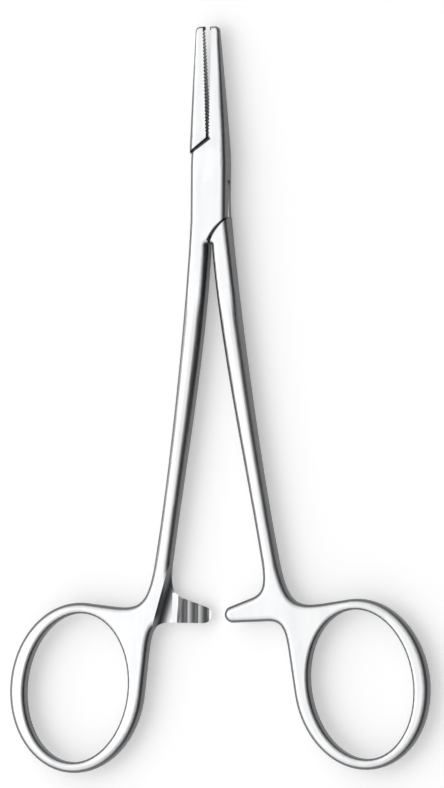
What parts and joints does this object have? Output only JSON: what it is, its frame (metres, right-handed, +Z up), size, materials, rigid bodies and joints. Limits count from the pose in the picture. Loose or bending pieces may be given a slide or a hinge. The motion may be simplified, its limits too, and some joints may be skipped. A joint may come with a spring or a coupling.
{
  "type": "mosquito forceps",
  "caption": "Straight mosquito forceps with a box lock, ring handles, a ratchet, serrated jaws and toothed tips.",
  "frame": {"origin": "on the lock pin's axis at the underside of the box lock", "axes": "+Z up along the lock pin, +Y towards the jaw tips, +X towards the right ring with the pin facing the viewer"},
  "size_m": [0.072, 0.1251, 0.0046],
  "materials": {
    "half_steel": "satin polished stainless steel",
    "pin_steel": "ground flush and satin polished with the lock"
  },
  "bodies": {
    "female": {"female_half": "half_steel", "lock_pin": "pin_steel"},
    "male": {"male_half": "half_steel"}
  },
  "joints": [
    {"name": "jaw_hinge", "type": "hinge", "parent": "female", "child": "male", "pos_m": [0, 0, 0.0023], "axis": [0, 0, 1], "range_deg": [-3, 47]}
  ]
}
